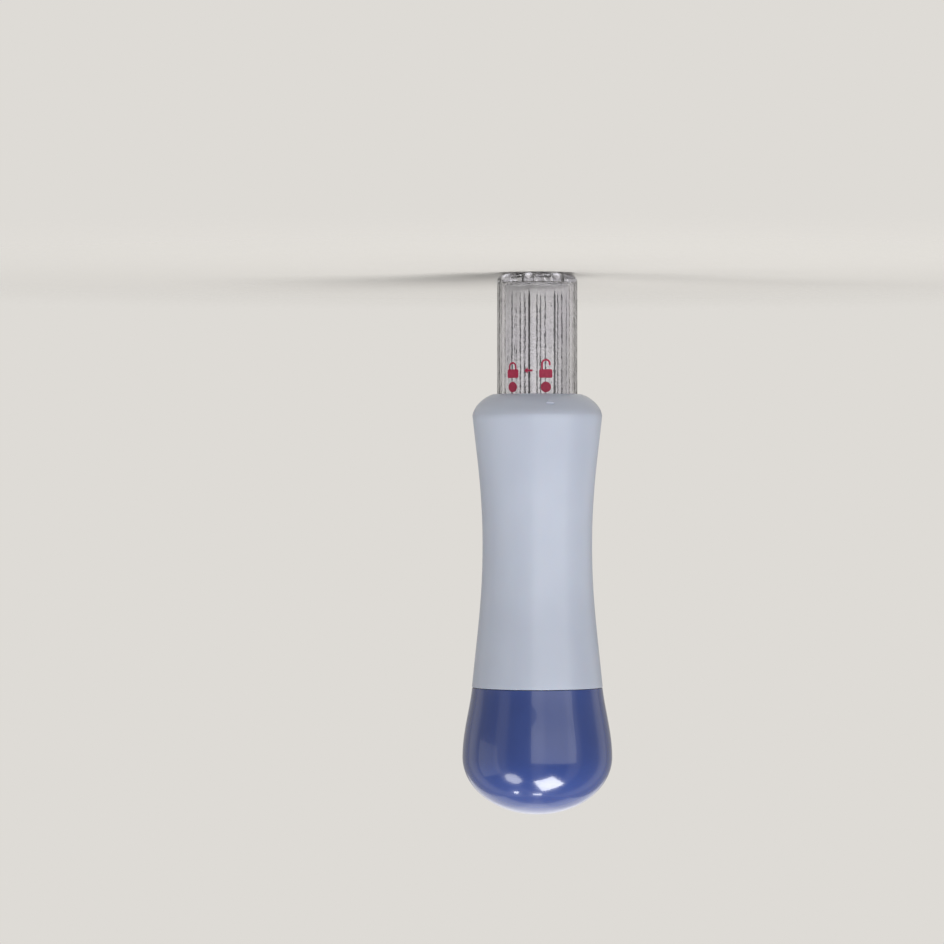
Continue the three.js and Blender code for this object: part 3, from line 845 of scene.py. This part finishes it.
def springCoil(s):
    openPitch = (s["top"] - s["bottom"] - s["wire"] - 2 * s["endPitch"]) / (s["curls"] - 2)
    outline = circleOutline(s["wire"] / 2, s["sides"])
    height, stations = s["bottom"] + s["wire"] / 2, []
    for k in range(s["curls"] * s["steps"] + 1):
        centre = turnedTo(2 * math.pi * k / s["steps"], s["radius"], height)
        stations.append((centre, Vector((centre.x, centre.y, 0)).normalized(), zAxis, outline))
        inEnd = k < s["steps"] or k >= (s["curls"] - 1) * s["steps"]
        height += (s["endPitch"] if inEnd else openPitch) / s["steps"]
    mesh = bmesh.new()
    addSweep(mesh, stations)
    return newObject("return_spring_look", mesh, finishes["springSteel"], s["sharp"])


coil = springCoil(spring)
fit(coil, "handle", "spring_steel", "return_spring")
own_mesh(coil)
print("spring wound")


# Needle block

block = {
    "sides": 128, "radius": 9.5, "flangeRadius": 9.8, "bore": 8.3,
    "skirt": 42.2, "bottom": 61.99, "flange": 77.99, "top": 82.01, "slotFloor": 79.99,
    "roofFillet": 0.4, "skirtFillet": 0.2, "flangeFillet": 0.15, "topFillet": 0.25,
    "holeRadius": 1.05, "holeSides": 24, "slotRoom": 0.03, "reach": 5.6, "over": 1,
}


def needleBlock(b):
    line = softened([
        (0, b["bottom"]), (b["bore"], b["bottom"], b["roofFillet"]),
        (b["bore"], b["skirt"], b["skirtFillet"]), (b["radius"], b["skirt"], b["skirtFillet"]),
        (b["radius"], b["flange"]), (b["flangeRadius"], b["flange"], b["flangeFillet"]),
        (b["flangeRadius"], b["top"], b["topFillet"]), (0, b["top"]),
    ])
    mesh = bmesh.new()
    addSpin(mesh, line, b["sides"], closed=False)
    piece = newObject("needle_block_look", mesh, finishes["whiteAcetal"])
    half, floor, roof = b["holeRadius"] + b["slotRoom"], b["slotFloor"], b["top"] + b["over"]
    slotOutline = [(-half, floor), (half, floor), (half, roof), (-half, roof)]
    boreOutline = circleOutline(b["holeRadius"], b["holeSides"])
    for x, y, angle in needlePlaces(needleRing):
        centre = Vector((x, y, 0))
        bore = bmesh.new()
        ends = [centre + zAxis * z for z in (b["bottom"] - b["over"], roof)]
        addSweep(bore, [(end, Vector((1, 0, 0)), Vector((0, 1, 0)), boreOutline) for end in ends])
        combine(piece, bore, "DIFFERENCE")
        forward, left = turnedTo(math.radians(angle)), turnedTo(math.radians(angle + 90))
        slot = bmesh.new()
        addSweep(slot, [(centre + forward * along, left, zAxis, slotOutline) for along in (0, b["reach"])])
        combine(piece, slot, "DIFFERENCE")
    return piece


fit(needleBlock(block), "handle", "white", "needle_block")
print("needle block made")


# Lock collar: the lugs pass up between its ledges, and turn below them as far as its stops

collar = {
    "sides": 128, "radius": 9.5, "bore": 8.85, "bottom": 26.5, "top": 33.4, "fillet": 0.1, "filletSteps": 2,
    "sunkRadius": 9.2, "ledgeBore": 8.3, "ledge": (29.2, 31.4), "reach": 20, "turn": 50, "ledgeFillet": 0.15,
    # a stop ends inside its ledge, a little back from the faces
    "stopBore": 8.33, "stop": (26.55, 30.1), "stopBack": 0.3,
}


def lockCollar(c):
    corners = [(c["bore"], c["bottom"]), (c["radius"], c["bottom"]), (c["radius"], c["top"]), (c["bore"], c["top"])]
    mesh = bmesh.new()
    addSpin(mesh, softened([(*corner, c["fillet"]) for corner in corners], c["filletSteps"]), c["sides"])
    piece = newObject("lock_collar_look", mesh, finishes["whiteAcetal"])
    for front in lugFronts:
        start, end = front + c["reach"], front + 180 - c["reach"]
        part = bmesh.new()
        addRingPart(part, c["sunkRadius"], c["ledgeBore"], *c["ledge"], start, end, c["ledgeFillet"])
        combine(piece, part, "UNION")
        start, end = start + c["stopBack"], end - c["turn"] - c["stopBack"]
        part = bmesh.new()
        addRingPart(part, c["sunkRadius"], c["stopBore"], *c["stop"], start, end, c["ledgeFillet"])
        combine(piece, part, "UNION")
    return piece


fit(lockCollar(collar), "handle", "white", "lock_collar")
print("lock collar made")


# Turned inner pieces: the washer on the spring, the plate over the cranks and the socket of its pin

innerSides = 128
innerPieces = {
    "thrust_washer": {
        "body": "washer", "closed": True,
        "corners": [(6.31, 29.6, 0.15), (8.0, 29.6, 0.15), (8.0, 30.6, 0.15), (6.31, 30.6, 0.15)],
    },
    "clamp_plate": {
        "body": "plate", "closed": False,
        "corners": [
            (0, 82.11), (9.8, 82.11, 0.2), (9.8, 83.91, 0.2), (2.4, 83.91, 0.3),
            (2.4, 87.61), (3.2, 87.61, 0.1), (2.4, 88.81, 0.3), (0, 88.81),
        ],
    },
    "pin_socket": {
        "body": "cap", "closed": True,
        "corners": [(2.7, 85.41, 0.25), (7.5, 85.41, 0.15), (7.5, 87.31, 0.15), (2.7, 87.31, 0.15)],
    },
}
for node, inner in innerPieces.items():
    mesh = bmesh.new()
    addSpin(mesh, softened(inner["corners"]), innerSides, closed=inner["closed"])
    fit(newObject(node + "_look", mesh, finishes["whiteAcetal"]), inner["body"], "white", node)
print("inner pieces turned")


# Studio

studio = {
    "backdrop": "DEDBD6", "ambient": 0.34, "white": (1, 1, 1, 1),
    "floor": "C2BFBA", "floorRoughness": 0.9, "floorSides": 96, "floorDrop": 0.2,
    "floorRadius": 0.4, "floorFade": (0.03, 0.22),  # in metres
    # the pale backdrop stands in panels all round, one of them straight behind the punch, so that
    # the clear ribs and the steel have an edge to show
    "panels": 6, "behind": 191.5, "panelEdge": (-0.5, 0.9), "gapLight": 0.1, "mirroredGap": 0.55,
}
# angles in degrees, distances and sizes in metres; all the lamps look at the middle of the handle
lampTarget = (0, 0, 0.055)
lamps = {
    "keyBox": {
        "shape": "RECTANGLE", "azimuth": -16, "elevation": 61, "distance": 0.75, "size": (0.36, 0.36),
        "roll": 45, "power": 5.2,
    },
    "umbrella": {
        "shape": "ELLIPSE", "azimuth": 60, "elevation": 47, "distance": 0.8, "size": (0.28, 0.34),
        "roll": 20, "power": 1.4,
    },
    "fillBox": {
        "shape": "RECTANGLE", "azimuth": 95, "elevation": 15, "distance": 1.0, "size": (0.7, 0.7),
        "roll": 0, "power": 0.8,
    },
    "frontBox": {
        "shape": "RECTANGLE", "azimuth": -14, "elevation": -3, "distance": 0.9, "size": (1.3, 0.5),
        "roll": 0, "power": 2.5,
    },
    "topSpark": {
        "shape": "RECTANGLE", "azimuth": 11.5, "elevation": 89, "distance": 0.75, "size": (0.1, 0.05),
        "roll": 0, "power": 0.22,
    },
    "sideSpark": {
        "shape": "RECTANGLE", "azimuth": 106, "elevation": 71, "distance": 0.75, "size": (0.08, 0.05),
        "roll": 0, "power": 0.18,
    },
    "backBox": {
        "shape": "RECTANGLE", "azimuth": 190, "elevation": 40, "distance": 1.0, "size": (0.9, 0.9),
        "roll": 0, "power": 1.5,
    },
}


def aimedFrom(azimuth, elevation):
    a, e = math.radians(azimuth), math.radians(elevation)
    return Vector((math.sin(a) * math.cos(e), -math.cos(a) * math.cos(e), math.sin(e)))


def softLamp(name, lamp):
    data = bpy.data.lights.new(name, "AREA")
    data.shape = lamp["shape"]
    data.size, data.size_y = lamp["size"]
    data.energy = lamp["power"]
    light = bpy.data.objects.new(name, data)
    back = aimedFrom(lamp["azimuth"], lamp["elevation"])
    light.location = Vector(lampTarget) + back * lamp["distance"]
    aim = (-back).to_track_quat("-Z", "Y").to_matrix()
    light.rotation_euler = (aim @ Matrix.Rotation(math.radians(lamp["roll"]), 3, "Z")).to_euler()
    bpy.context.scene.collection.objects.link(light)


def studioWorld(s):
    world = bpy.data.worlds.new("studio")
    world.use_nodes = True
    bpy.context.scene.world = world
    tree = world.node_tree
    nodes, links = tree.nodes, tree.links
    ambient, shown = nodes["Background"], nodes.new("ShaderNodeBackground")
    ambient.inputs["Color"].default_value = s["white"]
    ambient.inputs["Strength"].default_value = s["ambient"]
    shown.inputs["Color"].default_value = colour(s["backdrop"])
    direction = nodes.new("ShaderNodeSeparateXYZ")
    links.new(nodes.new("ShaderNodeTexCoord").outputs["Generated"], direction.inputs["Vector"])
    behind = aimedFrom(s["behind"], 0)
    turn = mathNode(tree, "ARCTAN2", direction.outputs["Y"], direction.outputs["X"])
    turn = mathNode(tree, "SUBTRACT", turn, math.atan2(behind.y, behind.x))
    wave = mathNode(tree, "COSINE", mathNode(tree, "MULTIPLY", turn, s["panels"]))
    light = rangeNode(tree, wave, s["panelEdge"], (s["gapLight"], 1), "SMOOTHSTEP")
    path = nodes.new("ShaderNodeLightPath").outputs
    mirrored = mathNode(tree, "MULTIPLY", path["Is Glossy Ray"], s["mirroredGap"])
    fullLight = mathNode(tree, "MAXIMUM", path["Is Camera Ray"], mirrored)
    links.new(mathNode(tree, "MAXIMUM", light, fullLight), shown.inputs["Strength"])
    bent = mathNode(tree, "MAXIMUM", path["Is Glossy Ray"], path["Is Transmission Ray"])
    seen = mathNode(tree, "MAXIMUM", path["Is Camera Ray"], bent)
    mixed = mixNode(tree, seen, ambient.outputs["Background"], shown.outputs["Background"])
    links.new(mixed, nodes["World Output"].inputs["Surface"])


def studioFloor(s):
    # a pale floor that fades into the backdrop away from the punch
    mesh = bmesh.new()
    bmesh.ops.create_circle(mesh, cap_ends=True, segments=s["floorSides"], radius=s["floorRadius"])
    material = bpy.data.materials.new("paleFloor")
    material.use_nodes = True
    tree = material.node_tree
    nodes, links = tree.nodes, tree.links
    shader = nodes["Principled BSDF"]
    shader.inputs["Base Color"].default_value = colour(s["floor"])
    shader.inputs["Roughness"].default_value = s["floorRoughness"]
    shader.inputs["Specular IOR Level"].default_value = 0
    length = nodes.new("ShaderNodeVectorMath")
    length.operation = "LENGTH"
    links.new(nodes.new("ShaderNodeTexCoord").outputs["Object"], length.inputs[0])
    fade = rangeNode(tree, length.outputs["Value"], s["floorFade"], interpolation="SMOOTHSTEP")
    # it shows only from above, so that the guard's face can be seen from below
    below = nodes.new("ShaderNodeNewGeometry").outputs["Backfacing"]
    unseen = mathNode(tree, "MAXIMUM", fade, below)
    clearShader = nodes.new("ShaderNodeBsdfTransparent")
    mixed = mixNode(tree, unseen, shader.outputs["BSDF"], clearShader.outputs["BSDF"])
    links.new(mixed, nodes["Material Output"].inputs["Surface"])
    floor = newObject("floor", mesh, material)
    floor.location.z = -s["floorDrop"] * mm


studioWorld(studio)
studioFloor(studio)
for name, lamp in lamps.items():
    softLamp(name, lamp)
bpy.context.scene.view_settings.view_transform = "Standard"
print("studio lit")


# Camera: level with the punch and turned over, so that the guard is at the top

view = {
    "azimuth": 11.5,
    "distance": 0.9, "clip": (0.01, 20),  # in metres
    "sensor": 36, "frameWidth": 187.7,
    "frameSize": 944, "axisColumn": 537.3, "faceRow": 274,  # in pixels
}


def photoCamera(v):
    data = bpy.data.cameras.new("camera")
    data.sensor_width = v["sensor"]
    data.lens = v["sensor"] * v["distance"] / (v["frameWidth"] * mm)
    data.clip_start, data.clip_end = v["clip"]
    camera = bpy.data.objects.new("camera", data)
    back = aimedFrom(v["azimuth"], 0)
    right, up = Vector((back.y, -back.x, 0)), -zAxis
    pixel = v["frameWidth"] * mm / v["frameSize"]
    aside = (v["axisColumn"] - v["frameSize"] / 2) * pixel
    height = (v["frameSize"] / 2 - v["faceRow"]) * pixel
    place = back * v["distance"] - right * aside + zAxis * height
    camera.matrix_world = Matrix.Translation(place) @ Matrix((right, up, back)).transposed().to_4x4()
    bpy.context.scene.collection.objects.link(camera)
    bpy.context.scene.camera = camera


photoCamera(view)
print("camera set")
